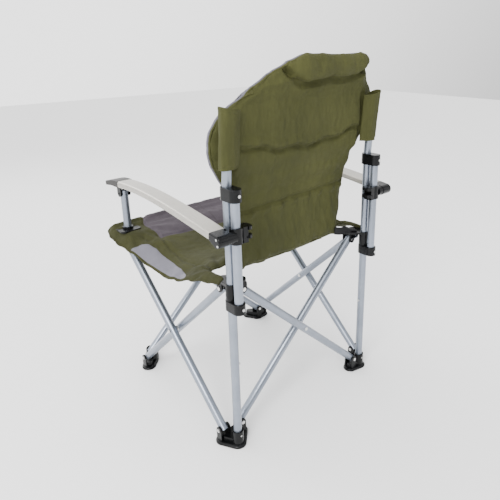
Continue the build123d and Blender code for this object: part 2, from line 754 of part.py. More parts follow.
def main():
    os.makedirs("parts", exist_ok=True)
    nodes = {**frame_nodes(), **post_nodes(), **arm_nodes()}
    nodes["back_panel"] = back_panel()
    for name, shape in nodes.items():
        export_step(shape, f"parts/{name}.step")
    print(len(nodes), "nodes")


main()
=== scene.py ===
import math

import bmesh
import bpy
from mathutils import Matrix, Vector, noise
from mathutils.bvhtree import BVHTree


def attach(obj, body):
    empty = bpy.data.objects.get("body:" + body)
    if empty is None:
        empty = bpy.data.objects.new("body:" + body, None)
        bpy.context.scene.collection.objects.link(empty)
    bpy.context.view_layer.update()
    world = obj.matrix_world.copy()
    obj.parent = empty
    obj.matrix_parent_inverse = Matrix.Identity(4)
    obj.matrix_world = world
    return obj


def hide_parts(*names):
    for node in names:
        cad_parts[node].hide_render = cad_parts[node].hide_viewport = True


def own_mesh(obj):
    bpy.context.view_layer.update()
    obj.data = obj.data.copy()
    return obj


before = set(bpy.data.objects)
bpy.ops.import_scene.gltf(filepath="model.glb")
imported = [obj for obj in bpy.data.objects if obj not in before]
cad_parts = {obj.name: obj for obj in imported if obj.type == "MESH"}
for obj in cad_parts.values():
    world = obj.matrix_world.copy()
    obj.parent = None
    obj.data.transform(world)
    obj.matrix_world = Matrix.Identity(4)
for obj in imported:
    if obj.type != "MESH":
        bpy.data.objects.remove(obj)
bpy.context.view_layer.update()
print("frame loaded")

postLine = 0.253      # y of the rear posts
postSide = 0.2505     # x of the left rear post, and mirrored for the right one


def smooth(low, high, value):
    t = min(1.0, max(0.0, (value - low) / (high - low)))
    return t * t * (3 - 2 * t)


def ramp(points, value, eased=False):
    # straight or eased lines between (place, height) pairs
    if value <= points[0][0]:
        return points[0][1]
    for (a, low), (b, high) in zip(points, points[1:]):
        if value <= b:
            if eased:
                return low + (high - low) * smooth(a, b, value)
            return low + (high - low) * (value - a) / (b - a)
    return points[-1][1]


def easedRamp(points, value):
    return ramp(points, value, eased=True)


def groove(distance, width):
    # 1 on a seam, fading to 0 at width
    t = min(1.0, abs(distance) / width)
    return (1 - t) ** 2 * (1 + 2 * t)


def addMesh(name, points, faces, materials=()):
    mesh = bpy.data.meshes.new(name)
    mesh.from_pydata([tuple(p) for p in points], [], faces)
    mesh.update()
    piece = bpy.data.objects.new(name, mesh)
    bpy.context.scene.collection.objects.link(piece)
    for material in materials:
        mesh.materials.append(material)
    mesh.shade_smooth()
    return piece


def surfaceTree(piece):
    # finds the nearest places on a piece
    mesh = piece.data
    return BVHTree.FromPolygons([v.co for v in mesh.vertices], [p.vertices for p in mesh.polygons])


def shellFromGrid(name, rows, columns, place, materials, pick):
    # closed quilt: place(u, v, side) gives a point, side is +1 for one face and -1 for the other
    points = []
    for side in (1, -1):
        for j in range(rows + 1):
            for i in range(columns + 1):
                points.append(place(i / columns * 2 - 1, j / rows, side))
    faces = []
    picks = []
    stride = columns + 1
    layer = stride * (rows + 1)
    for j in range(rows):
        for i in range(columns):
            a = j * stride + i
            quad = (a, a + 1, a + 1 + stride, a + stride)
            u = (i + 0.5) / columns * 2 - 1
            v = (j + 0.5) / rows
            faces.append(quad)
            picks.append(pick(u, v, 1))
            faces.append(tuple(layer + k for k in reversed(quad)))
            picks.append(pick(u, v, -1))
    rim = list(range(stride))
    rim += [j * stride + columns for j in range(1, rows + 1)]
    rim += [rows * stride + i for i in range(columns - 1, -1, -1)]
    rim += [j * stride for j in range(rows - 1, 0, -1)]
    for a, b in zip(rim, rim[1:] + rim[:1]):
        faces.append((b, a, a + layer, b + layer))
        u = (a % stride) / columns * 2 - 1
        picks.append(pick(u, (a // stride) / rows, 0))
    piece = addMesh(name, points, faces, materials)
    for polygon, index in zip(piece.data.polygons, picks):
        polygon.material_index = index
    bm = bmesh.new()
    bm.from_mesh(piece.data)
    bmesh.ops.recalc_face_normals(bm, faces=bm.faces)
    bm.to_mesh(piece.data)
    bm.free()
    return piece


def puffUp(piece, settings):
    # the cloth swells a little under pressure, and no point moves further than the cap
    start = [v.co.copy() for v in piece.data.vertices]
    cloth = piece.modifiers.new("Cloth", "CLOTH")
    cloth.settings.quality = 6
    cloth.settings.mass = 0.2
    cloth.settings.tension_stiffness = settings["stiffness"]
    cloth.settings.compression_stiffness = settings["stiffness"]
    cloth.settings.shear_stiffness = settings["stiffness"] / 2
    cloth.settings.bending_stiffness = settings["bending"]
    cloth.settings.use_pressure = True
    cloth.settings.uniform_pressure_force = settings["pressure"]
    cloth.settings.effector_weights.gravity = 0
    cloth.point_cache.frame_start = 1
    cloth.point_cache.frame_end = settings["frames"]
    scene = bpy.context.scene
    for number in range(1, settings["frames"] + 1):
        scene.frame_set(number)
    evaluated = piece.evaluated_get(bpy.context.evaluated_depsgraph_get())
    moved = [v.co.copy() for v in evaluated.data.vertices]
    piece.modifiers.remove(cloth)
    scene.frame_set(1)
    for vertex, home, swollen in zip(piece.data.vertices, start, moved):
        step = swollen - home
        if step.length > settings["cap"]:
            step *= settings["cap"] / step.length
        vertex.co = home + step
    piece.data.update()


def subdivide(piece, levels=1):
    bpy.context.view_layer.objects.active = piece
    modifier = piece.modifiers.new("Subdivision", "SUBSURF")
    modifier.levels = modifier.render_levels = levels
    with bpy.context.temp_override(object=piece, active_object=piece, selected_objects=[piece]):
        bpy.ops.object.modifier_apply(modifier=modifier.name)


def pushAlongNormals(piece, amount):
    # amount(point, normal) is how far a point moves out
    mesh = piece.data
    normals = [v.normal.copy() for v in mesh.vertices]
    for vertex, normal in zip(mesh.vertices, normals):
        vertex.co += normal * amount(vertex.co, normal)
    mesh.update()


def tubeAlong(name, points, radius, material, closed=False, sides=8):
    # mesh tube through points, for piping and hems
    count = len(points)
    rings = []
    up = Vector((0, 0, 1))
    for k, point in enumerate(points):
        ahead = points[(k + 1) % count] if closed or k < count - 1 else point
        behind = points[k - 1] if closed or k > 0 else point
        run = (ahead - behind).normalized()
        if abs(run.dot(up)) > 0.95:
            up = Vector((0, 1, 0))
        across = run.cross(up).normalized()
        up = across.cross(run).normalized()
        for s in range(sides):
            a = 2 * math.pi * s / sides
            rings.append(point + (across * math.cos(a) + up * math.sin(a)) * radius)
    faces = []
    last = count if closed else count - 1
    for k in range(last):
        n = (k + 1) % count
        for s in range(sides):
            t = (s + 1) % sides
            faces.append((k * sides + s, k * sides + t, n * sides + t, n * sides + s))
    if not closed:
        faces.append(tuple(range(sides)))
        faces.append(tuple((count - 1) * sides + s for s in reversed(range(sides))))
    return addMesh(name, rings, faces, [material])


stitchLook = {"length": 0.0042, "gap": 0.0022, "width": 0.0011, "crown": 0.0008,
              "ends": 0.00025, "sunk": 0.0003}


def stitchLine(name, points, surface, material):
    # a row of short raised stitches laid on the surface along points
    tree = surfaceTree(surface)
    stepLength = 0.001
    tooShort = 1e-5
    length = stitchLook["length"]
    period = length + stitchLook["gap"]
    line = []
    for a, b in zip(points, points[1:]):
        steps = max(1, int((b - a).length / stepLength))
        line += [a.lerp(b, k / steps) for k in range(steps)]
    verts = []
    faces = []
    k = 0
    while k < len(line) - 1:
        end = k
        while end < len(line) - 1 and (line[end] - line[k]).length < length:
            end += 1
        spots = []
        for spot in (line[k], line[(k + end) // 2], line[end]):
            spots.append(tree.find_nearest(spot)[:2])
        run = spots[-1][0] - spots[0][0]
        if run.length > tooShort:
            run.normalize()
            base = len(verts)
            for index, (spot, normal) in enumerate(spots):
                across = run.cross(normal).normalized() * stitchLook["width"] / 2
                lift = normal * stitchLook["crown" if index == 1 else "ends"]
                sunk = normal * stitchLook["sunk"]
                verts += [spot + across - sunk, spot + lift, spot - across - sunk]
            for r in range(2):
                o = base + 3 * r
                faces += [(o, o + 1, o + 4, o + 3), (o + 1, o + 2, o + 5, o + 4)]
        while end < len(line) - 1 and (line[end] - line[k]).length < period:
            end += 1
        k = end
    return addMesh(name, verts, faces, [material])


def nodeMaterial(name, roughness, metallic=0.0, sheen=0.0, coat=0.0, specular=0.5):
    material = bpy.data.materials.new(name)
    material.use_nodes = True
    nodes = material.node_tree.nodes
    shader = nodes["Principled BSDF"]
    shader.inputs["Roughness"].default_value = roughness
    shader.inputs["Metallic"].default_value = metallic
    shader.inputs["Sheen Weight"].default_value = sheen
    shader.inputs["Sheen Roughness"].default_value = 0.45
    shader.inputs["Coat Weight"].default_value = coat
    shader.inputs["Coat Roughness"].default_value = 0.25
    shader.inputs["Specular IOR Level"].default_value = specular
    return material, material.node_tree, shader


def link(tree, a, output, b, socket):
    tree.links.new(a.outputs[output], b.inputs[socket])


def noiseNode(tree, coordinate, scale, detail=4.0, roughness=0.55, stretch=None):
    nodeNoise = tree.nodes.new("ShaderNodeTexNoise")
    nodeNoise.inputs["Scale"].default_value = scale
    nodeNoise.inputs["Detail"].default_value = detail
    nodeNoise.inputs["Roughness"].default_value = roughness
    if stretch:
        mapping = tree.nodes.new("ShaderNodeMapping")
        mapping.inputs["Scale"].default_value = stretch
        link(tree, coordinate, "Object", mapping, "Vector")
        link(tree, mapping, "Vector", nodeNoise, "Vector")
    else:
        link(tree, coordinate, "Object", nodeNoise, "Vector")
    return nodeNoise


def tint(tree, factor, low, high, lowPlace=0.35, highPlace=0.65):
    # two colours blended by a factor
    ramped = tree.nodes.new("ShaderNodeValToRGB")
    ramped.color_ramp.elements[0].position = lowPlace
    ramped.color_ramp.elements[0].color = (*low, 1)
    ramped.color_ramp.elements[1].position = highPlace
    ramped.color_ramp.elements[1].color = (*high, 1)
    tree.links.new(factor, ramped.inputs["Fac"])
    return ramped


def spread(tree, factor, low, high):
    mapped = tree.nodes.new("ShaderNodeMapRange")
    mapped.inputs["To Min"].default_value = low
    mapped.inputs["To Max"].default_value = high
    tree.links.new(factor, mapped.inputs["Value"])
    return mapped


def calc(tree, operation, first, second=None):
    node = tree.nodes.new("ShaderNodeMath")
    node.operation = operation
    for socket, value in enumerate((first, second)):
        if value is None:
            continue
        if isinstance(value, (int, float)):
            node.inputs[socket].default_value = value
        else:
            tree.links.new(value, node.inputs[socket])
    return node.outputs["Value"]


def layShade(tree, shader, colour, shade, amount, blend="MIX"):
    # a shade laid over a colour by an amount
    mixed = tree.nodes.new("ShaderNodeMix")
    mixed.data_type = "RGBA"
    mixed.blend_type = blend
    link(tree, amount, "Result", mixed, "Factor")
    link(tree, colour, "Color", mixed, "A")
    mixed.inputs["B"].default_value = (*shade, 1)
    tree.links.new(mixed.outputs[2], shader.inputs["Base Color"])


def bumpInto(tree, shader, height, strength, distance, before=None):
    bump = tree.nodes.new("ShaderNodeBump")
    bump.inputs["Strength"].default_value = strength
    bump.inputs["Distance"].default_value = distance
    tree.links.new(height, bump.inputs["Height"])
    if before:
        link(tree, before, "Normal", bump, "Normal")
    link(tree, bump, "Normal", shader, "Normal")
    return bump


def wovenCloth(name, settings):
    dull = settings["roughness"]
    material, tree, shader = nodeMaterial(name, dull, sheen=settings["sheen"], specular=0.25)
    shader.inputs["Sheen Tint"].default_value = (*settings["light"], 1)
    coordinate = tree.nodes.new("ShaderNodeTexCoord")
    fade = noiseNode(tree, coordinate, settings["patchScale"], 5, 0.6)
    colour = tint(tree, fade.outputs["Fac"], settings["dark"], settings["light"], 0.3, 0.72)
    parts = tree.nodes.new("ShaderNodeSeparateXYZ")
    link(tree, coordinate, "Object", parts, "Vector")
    turns = 2 * math.pi / settings["thread"]
    other = calc(tree, "ADD", parts.outputs["Y"], parts.outputs["Z"])
    warp = calc(tree, "SINE", calc(tree, "MULTIPLY", parts.outputs["X"], turns))
    weft = calc(tree, "SINE", calc(tree, "MULTIPLY", other, turns))
    weave = calc(tree, "MULTIPLY", warp, weft)
    slub = noiseNode(tree, coordinate, settings["slubScale"], 2, 0.5, settings["slubStretch"])
    gaps = calc(tree, "ADD", calc(tree, "MULTIPLY", weave, 0.5), slub.outputs["Fac"])
    layShade(tree, shader, colour, settings["gapShade"], spread(tree, gaps, 0.0, 0.55), "MULTIPLY")
    creases = noiseNode(tree, coordinate, settings["creaseScale"], 6, 0.62, settings["creaseStretch"])
    first = bumpInto(tree, shader, creases.outputs["Fac"], 0.5, 0.006)
    bumpInto(tree, shader, weave, 0.3, 0.0004, first)
    rough = spread(tree, fade.outputs["Fac"], dull - 0.06, dull + 0.06)
    link(tree, rough, "Result", shader, "Roughness")
    return material


def openMesh(name, settings):
    # knitted spacer mesh: small dark holes in rows
    material, tree, shader = nodeMaterial(name, 0.8, sheen=0.2, specular=0.3)
    coordinate = tree.nodes.new("ShaderNodeTexCoord")
    cells = tree.nodes.new("ShaderNodeTexVoronoi")
    cells.inputs["Scale"].default_value = 1 / settings["hole"]
    cells.inputs["Randomness"].default_value = 0.25
    link(tree, coordinate, "Object", cells, "Vector")
    colour = tint(tree, cells.outputs["Distance"], settings["dark"], settings["light"], 0.18, 0.42)
    fade = noiseNode(tree, coordinate, 14, 4, 0.6)
    patches = spread(tree, fade.outputs["Fac"], 0.0, 0.35)
    layShade(tree, shader, colour, settings["grime"], patches, "MULTIPLY")
    bumpInto(tree, shader, cells.outputs["Distance"], 0.5, 0.0012)
    return material


def enamelSteel(name, settings):
    material, tree, shader = nodeMaterial(name, 0.28, metallic=0.85, coat=0.3)
    coordinate = tree.nodes.new("ShaderNodeTexCoord")
    fade = noiseNode(tree, coordinate, 9, 5, 0.6)
    colour = tint(tree, fade.outputs["Fac"], settings["dark"], settings["light"], 0.3, 0.7)
    scuffs = noiseNode(tree, coordinate, 60, 8, 0.75, (1, 1, 0.18))
    worn = calc(tree, "GREATER_THAN", scuffs.outputs["Fac"], 0.72)
    layShade(tree, shader, colour, settings["scuff"], spread(tree, worn, 0, 0.5))
    link(tree, spread(tree, scuffs.outputs["Fac"], 0.24, 0.46), "Result", shader, "Roughness")
    peel = noiseNode(tree, coordinate, 420, 2, 0.5)
    bumpInto(tree, shader, peel.outputs["Fac"], 0.08, 0.0004)
    return material


def mouldedPlastic(name, settings):
    material, tree, shader = nodeMaterial(name, 0.3, coat=0.04, specular=0.16)
    coordinate = tree.nodes.new("ShaderNodeTexCoord")
    fade = noiseNode(tree, coordinate, 30, 5, 0.6)
    colour = tint(tree, fade.outputs["Fac"], settings["dark"], settings["light"], 0.35, 0.75)
    link(tree, colour, "Color", shader, "Base Color")
    rough = spread(tree, fade.outputs["Fac"], settings["smooth"], settings["dull"])
    link(tree, rough, "Result", shader, "Roughness")
    grain = noiseNode(tree, coordinate, 900, 3, 0.6)
    bumpInto(tree, shader, grain.outputs["Fac"], 0.16, 0.0003)
    return material


def anodisedAluminium(name, settings):
    material, tree, shader = nodeMaterial(name, 0.34, metallic=0.75, coat=0.1)
    coordinate = tree.nodes.new("ShaderNodeTexCoord")
    drawn = noiseNode(tree, coordinate, 40, 6, 0.7, (16, 0.35, 16))
    colour = tint(tree, drawn.outputs["Fac"], settings["dark"], settings["light"], 0.25, 0.7)
    link(tree, colour, "Color", shader, "Base Color")
    link(tree, spread(tree, drawn.outputs["Fac"], 0.28, 0.46), "Result", shader, "Roughness")
    bumpInto(tree, shader, drawn.outputs["Fac"], 0.06, 0.0003)
    return material


def zincSteel(name, settings):
    material, tree, shader = nodeMaterial(name, 0.3, metallic=1.0)
    coordinate = tree.nodes.new("ShaderNodeTexCoord")
    fade = noiseNode(tree, coordinate, 160, 5, 0.6)
    colour = tint(tree, fade.outputs["Fac"], settings["dark"], settings["light"])
    link(tree, colour, "Color", shader, "Base Color")
    link(tree, spread(tree, fade.outputs["Fac"], 0.2, 0.42), "Result", shader, "Roughness")
    return material


oliveLook = {
    "dark": (0.036, 0.038, 0.0095),
    "light": (0.061, 0.063, 0.0175),
    "gapShade": (0.5, 0.51, 0.42),
    "roughness": 0.84,
    "sheen": 0.06,
    "patchScale": 5.0,
    "thread": 0.0016,
    "slubScale": 260.0,
    "slubStretch": (1.0, 0.12, 0.12),
    "creaseScale": 16.0,
    "creaseStretch": (1.0, 1.0, 0.55),
}
seatGreyLook = dict(
    oliveLook, dark=(0.050, 0.041, 0.049), light=(0.074, 0.062, 0.073), gapShade=(0.6, 0.58, 0.6))
# the seat's olive is the back's olive canvas made darker: painted shade on the seat's top, which catches
# more sky light than the back
seatOlivePaintedShadeLook = dict(oliveLook, dark=(0.024, 0.025, 0.006), light=(0.041, 0.042, 0.0105))
webbingLook = dict(oliveLook, dark=(0.008, 0.008, 0.009), light=(0.016, 0.016, 0.017), thread=0.0024)
threadLook = dict(oliveLook, dark=(0.030, 0.031, 0.010), light=(0.046, 0.048, 0.015), thread=0.0008)

meshLook = {
    "hole": 0.0032,
    "dark": (0.062, 0.060, 0.071),
    "light": (0.132, 0.129, 0.155),
    "grime": (0.62, 0.6, 0.64),
}
tubeLook = {"dark": (0.19, 0.215, 0.26), "light": (0.27, 0.30, 0.355), "scuff": (0.5, 0.52, 0.55)}
plasticLook = {
    "dark": (0.0025, 0.0027, 0.003), "light": (0.006, 0.0063, 0.007), "smooth": 0.16, "dull": 0.34}
capLook = {"dark": (0.022, 0.021, 0.02), "light": (0.04, 0.038, 0.036), "smooth": 0.38, "dull": 0.55}
armLook = {"dark": (0.30, 0.285, 0.255), "light": (0.46, 0.44, 0.395)}
rivetLook = {"dark": (0.5, 0.5, 0.5), "light": (0.75, 0.75, 0.74)}

olive = wovenCloth("oliveCanvas", oliveLook)
seatGrey = wovenCloth("seatGreyCanvas", seatGreyLook)
# the seat's olive, darker than the back's, carries painted shade
seatOlivePaintedShade = wovenCloth("seatOlivePaintedShadeCanvas", seatOlivePaintedShadeLook)
webbing = wovenCloth("blackWebbing", webbingLook)
thread = wovenCloth("oliveThread", threadLook)
greyMesh = openMesh("greyMesh", meshLook)
tubeFinish = enamelSteel("greyEnamel", tubeLook)
plasticFinish = mouldedPlastic("blackPlastic", plasticLook)
capFinish = mouldedPlastic("charcoalPlastic", capLook)
armFinish = anodisedAluminium("champagneAluminium", armLook)
rivetFinish = zincSteel("zincSteel", rivetLook)
print("finishes made")


def finishFor(node):
    if node.endswith("_rivets") or "fasteners" in node:
        return rivetFinish
    if "tube" in node or node.startswith(("rear_post", "arm_post", "rail_left", "rail_right")):
        return tubeFinish
    if node.startswith("armrest"):
        return armFinish
    if node.startswith("arm_front_cap"):
        return capFinish
    return plasticFinish


for node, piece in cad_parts.items():
    piece.data.materials.clear()
    piece.data.materials.append(finishFor(node))
print("frame parts finished")


soleLook = {
    "spread": 0.0065,      # how far the sole stands out from the foot's own pad
    "bevel": 0.0012,
    "flat": 0.0035,
    "top": 0.0088,
    "lap": 0.004,
    "steps": 7,
    "roundSteps": 48,
}
footPins = {
    "rearSide": (0.2692, 0.2155),              # x, y of the side tube's pin, mirrored on the right
    "frontSide": (0.2436, -0.2225),
    "crossX": 0.219,                           # the rear and front tubes' pins
    "rearCross": {1: 0.2200, -1: 0.2456},
    "frontCross": {1: -0.2468, -1: -0.2212},   # the left foot holds the tube ahead
    "padEnd": (0.203, -0.030),                 # x, and y from the cross pin
    "earHalf": 0.0154,
    "postHalf": 0.015,
}


def soleOutline(circles, spread):
    # convex outline around circles (x, y, radius), grown by spread
    dots = []
    around = soleLook["roundSteps"]
    for x, y, radius in circles:
        for k in range(around):
            a = 2 * math.pi * k / around
            dots.append((x + (radius + spread) * math.cos(a), y + (radius + spread) * math.sin(a)))
    dots.sort()
    hull = []
    for order in (dots, dots[::-1]):
        part = []
        for dot in order:
            while len(part) > 1 and turnOf(part[-2], part[-1], dot) <= 0:
                part.pop()
            part.append(dot)
        hull += part[:-1]
    return hull


def turnOf(a, b, c):
    return (b[0] - a[0]) * (c[1] - a[1]) - (b[1] - a[1]) * (c[0] - a[0])


def sole(name, circles):
    # rounded plate: a ring of outlines, each further in and higher, closed above and below
    wide, bevel, flat = soleLook["spread"], soleLook["bevel"], soleLook["flat"]
    profile = [(wide - bevel, 0.0), (wide, bevel), (wide, flat)]
    for k in range(1, soleLook["steps"] + 1):
        a = math.pi / 2 * k / soleLook["steps"]
        inward = (wide + soleLook["lap"]) * (1 - math.cos(a))
        profile.append((wide - inward, flat + (soleLook["top"] - flat) * math.sin(a)))
    base = soleOutline(circles, 0)
    count = len(base)
    outline = []
    for k, spot in enumerate(base):
        before, after = base[k - 1], base[(k + 1) % count]
        normal = Vector((after[1] - before[1], before[0] - after[0], 0)).normalized()
        outline.append((Vector((*spot, 0)), normal))
    points = [spot + normal * out + Vector((0, 0, z)) for out, z in profile for spot, normal in outline]
    faces = []
    for level in range(len(profile) - 1):
        for k in range(count):
            n = (k + 1) % count
            a = level * count
            faces.append((a + k, a + n, a + count + n, a + count + k))
    faces.append(tuple(reversed(range(count))))
    faces.append(tuple((len(profile) - 1) * count + k for k in range(count)))
    return addMesh(name, points, faces, [plasticFinish])


def footCircles(sign, front):
    # what the foot's pad covers: both ears, and the post or the pad's far end
    ear = footPins["earHalf"]
    end = "front" if front else "rear"
    sideX, sideY = footPins[end + "Side"]
    crossY = footPins[end + "Cross"][sign]
    circles = [(sign * sideX, sideY, ear), (sign * footPins["crossX"], crossY, ear)]
    if front:
        x, ahead = footPins["padEnd"]
        return circles + [(sign * x, crossY + ahead, ear)]
    return circles + [(sign * postSide, postLine, footPins["postHalf"])]


for side, sign in (("left", 1), ("right", -1)):
    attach(sole("rearSole_" + side, footCircles(sign, False)), "rear_" + side + "_leg")
    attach(sole("frontSole_" + side, footCircles(sign, True)), "front_" + side + "_foot")
print("soles done")


backLook = {
    "rows": 84,
    "columns": 96,
    "thick": 0.020,
    "headThick": 0.036,
    "edgeHalf": 0.003,
    "edgeBand": 0.13,
    "hem": 0.453,
    "hemRise": 0.006,
    "spine": [(0.452, -0.066), (0.56, -0.0665), (0.61, -0.066), (0.652, -0.061), (0.70, -0.044),
              (0.749, -0.029), (0.80, -0.024), (0.85, -0.021), (0.878, -0.019), (0.905, -0.013),
              (0.94, 0.0), (0.98, 0.019)],
    "leftEdge": [(0.0, 0.192), (0.03, 0.198), (0.17, 0.204), (0.50, 0.222), (0.575, 0.246), (0.66, 0.272),
                 (0.74, 0.281), (0.83, 0.277), (0.90, 0.256), (0.96, 0.220), (1.0, 0.182)],
    "rightEdge": [(0.0, 0.192), (0.03, 0.198), (0.17, 0.206), (0.50, 0.226), (0.56, 0.244), (0.63, 0.272),
                  (0.72, 0.282), (0.80, 0.281), (0.87, 0.258), (0.94, 0.228), (1.0, 0.204)],
    "top": [(-1.0, 0.972), (-0.85, 0.979), (-0.5, 0.979), (-0.1, 0.981), (0.15, 0.980),
            (0.4, 0.968), (0.7, 0.945), (0.88, 0.925), (1.0, 0.903)],
    "puff": {"frames": 16, "pressure": 3.0, "stiffness": 18.0, "bending": 0.6, "cap": 0.007},
}
rollSeam = [(-0.215, 0.948), (-0.19, 0.934), (-0.165, 0.923), (-0.12, 0.919), (-0.075, 0.923),
            (-0.02, 0.918), (0.02, 0.914), (0.05, 0.926), (0.085, 0.957), (0.10, 0.985)]
backFolds = {
    "frontSeams": (0.62, 0.79, 0.91),
    "frontSeam": 0.006,
    "lengthSeamX": 0.165,
    "lengthSeam": 0.005,
    "rollSeam": 0.013,
    "rollHeight": 0.011,
    "lowerSeam": 0.0042,
    "fan": 0.0042,
    "hemFan": 0.0046,
    "sideFold": 0.0022,
    "grain": 0.0016,
    "tuck": 0.004,
}


def backSpine(z):
    return easedRamp(backLook["spine"], z)


def backOutline(u, v):
    width = ramp(backLook["leftEdge"] if u > 0 else backLook["rightEdge"], v)
    low = backLook["hem"] + backLook["hemRise"] * u * u
    high = ramp(backLook["top"], u)
    return u * width, low + (high - low) * v


def backPoint(u, v, side):
    x, z = backOutline(u, v)
    edge = min(1 - abs(u), v * 1.6, (1 - v) * 1.4)
    body = math.sqrt(min(1.0, edge / backLook["edgeBand"])) if edge > 0 else 0
    thick = backLook["thick"] + (backLook["headThick"] - backLook["thick"]) * smooth(0.88, 0.95, z)
    half = backLook["edgeHalf"] + (thick / 2 - backLook["edgeHalf"]) * body
    y = postLine + backSpine(z) + side * half
    return Vector((x, y, z))


def isFront(u, v, side):
    return 1 if side < 0 else 0


back = shellFromGrid(
    "backPad", backLook["rows"], backLook["columns"], backPoint, [olive, greyMesh], isFront)
puffUp(back, backLook["puff"])
subdivide(back)
print("back padded")


def midSeam(x):
    return 0.786 - 0.026 * (1 - min(1.0, (x / 0.2) ** 2)) + 0.004 * math.sin(x * 60)


def lowerSeam(x):
    return 0.622 - x * 0.03


def backRelief(point, normal):
    x, y, z = point
    if normal.y < 0.2:
        # front side: three seams across and one down each side
        if normal.y > -0.2:
            return 0.0
        depth = 0.0
        for seam in backFolds["frontSeams"]:
            depth -= backFolds["frontSeam"] * groove(z - seam, 0.02)
        depth -= backFolds["lengthSeam"] * groove(abs(x) - backFolds["lengthSeamX"], 0.016)
        return depth
    depth = 0.0
    across = smooth(0.235, 0.205, abs(x))
    rollGap = z - ramp(rollSeam, x)
    if -0.215 < x < 0.1:
        depth -= backFolds["rollSeam"] * groove(rollGap, 0.014)
        depth += backFolds["rollHeight"] * smooth(0, 0.022, rollGap)
    seamGap = z - midSeam(x)
    ripple = 1 + 0.5 * math.sin(x * 95) + 0.3 * math.sin(x * 211 + 1)
    depth -= (0.005 + 0.0025 * ripple) * groove(seamGap, 0.011) * across
    depth += 0.005 * groove(seamGap - 0.015, 0.018) * across * ripple * 0.6
    lowGap = z - lowerSeam(x)
    lowAcross = smooth(0.215, 0.2, abs(x))
    depth -= backFolds["lowerSeam"] * groove(lowGap, 0.008) * lowAcross
    depth += 0.0025 * groove(lowGap + 0.012, 0.014) * lowAcross * (1 + math.sin(x * 130 + 2))
    # slack folds that fan down from the mid seam and up from the hem
    fan = noise.noise(Vector((x * 26 + (0.8 - z) * 12 * x, 3.1, z * 5)))
    depth += backFolds["fan"] * fan * across
    fan = noise.noise(Vector((x * 42 - z * 14, 7.7, z * 6)))
    depth += backFolds["hemFan"] * fan * smooth(0.64, 0.52, z)
    fold = math.sin((z - 0.5 * x) * 70 + 2 * noise.noise(Vector((x * 9, 0, z * 9))))
    beside = smooth(0.16, 0.215, abs(x))
    depth += backFolds["sideFold"] * fold * beside * smooth(0.70, 0.80, z) * smooth(0.93, 0.88, z)
    depth += backFolds["grain"] * noise.noise(Vector((x * 70, y * 70, z * 40)))
    # lengthwise tucks beside the pockets
    tuck = groove(abs(x) - 0.222 + 0.02 * (z - 0.8), 0.010)
    depth -= backFolds["tuck"] * tuck * smooth(0.70, 0.75, z) * smooth(0.92, 0.88, z)
    return depth


pushAlongNormals(back, backRelief)


def backRim(v0, v1, u, steps):
    return [backPoint(u, v0 + (v1 - v0) * k / steps, 0) for k in range(steps)]


rimSteps = 90
trimSteps = 50
rim = backRim(0.0, 1.0, 1.0, rimSteps)
rim += [backPoint(1.0 - 2 * k / rimSteps, 1.0, 0) for k in range(rimSteps)]
rim += backRim(1.0, 0.0, -1.0, rimSteps)
rim += [backPoint(-1.0 + 2 * k / rimSteps, 0.0, 0) for k in range(rimSteps)]


def settled(points, surface, sink=0.0):
    # the path moved onto the nearest places of a surface, sunk a little into it
    tree = surfaceTree(surface)
    shortest = 0.002
    path = []
    for point in points:
        spot, normal = tree.find_nearest(point)[:2]
        spot = spot - normal * sink
        if not path or (spot - path[-1]).length > shortest:
            path.append(spot)
    return path


rim = settled(rim, back, 0.001)
backPiping = tubeAlong("backPiping", rim, 0.0030, olive, closed=True)
trimPath = [backPoint(1.0, 0.50 + 0.5 * k / trimSteps, 0) for k in range(trimSteps)]
trimPath += [backPoint(1.0 - 2 * k / rimSteps, 1.0, 0) for k in range(rimSteps)]
trimPath += [backPoint(-1.0, 1.0 - 0.5 * k / trimSteps, 0) for k in range(trimSteps + 1)]
trimPath = [spot + Vector((0, -0.0055, 0)) for spot in settled(trimPath, back)]
frontPipe = tubeAlong("backFrontPiping", trimPath, 0.0036, greyMesh)

seams = {
    "midSeamStitch": [Vector((x / 1000, 0, midSeam(x / 1000) + 0.005)) for x in range(-205, 206, 6)],
    "lowerSeamStitch": [Vector((x / 1000, 0, lowerSeam(x / 1000) - 0.006)) for x in range(-205, 206, 6)],
    "rollSeamStitch": [Vector((x / 1000, 0, ramp(rollSeam, x / 1000) - 0.008)) for x in range(-205, 71, 6)],
    "hemStitch": [Vector((x / 1000, 0, 0.466)) for x in range(-190, 191, 6)],
}
backTrim = [backPiping, frontPipe]
for name, line in seams.items():
    for spot in line:
        spot.y = postLine + backSpine(spot.z) + 0.03
    backTrim.append(stitchLine(name, line, back, thread))

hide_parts("back_panel")
for piece in [back] + backTrim:
    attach(piece, "rear_left_leg")
    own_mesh(piece)
print("back done")


pocketLook = {
    "rows": 46,
    "around": 56,
    "halfWide": 0.0205,
    "halfDeep": 0.0142,
    "square": 2.7,
    "inward": 0.0015,
    "wall": 0.0016,
    "web": {1: 0.020, -1: 0.009},     # how far the cloth reaches towards the back, left and right
    "webAhead": 0.009,
    "webThin": 0.55,
    "low": 0.747,
    "high": 0.880,
    "lean": math.radians(5),
    "bend": 0.716,
    "pucker": 0.0011,
    "flare": 0.0012,
    "tilt": 0.006,
}


def pocketRing(centre, angle, wide, deep):
    power = 2 / pocketLook["square"]
    x = math.copysign(abs(math.cos(angle)) ** power, math.cos(angle)) * wide
    y = math.copysign(abs(math.sin(angle)) ** power, math.sin(angle)) * deep
    return centre + Vector((x, y, 0))


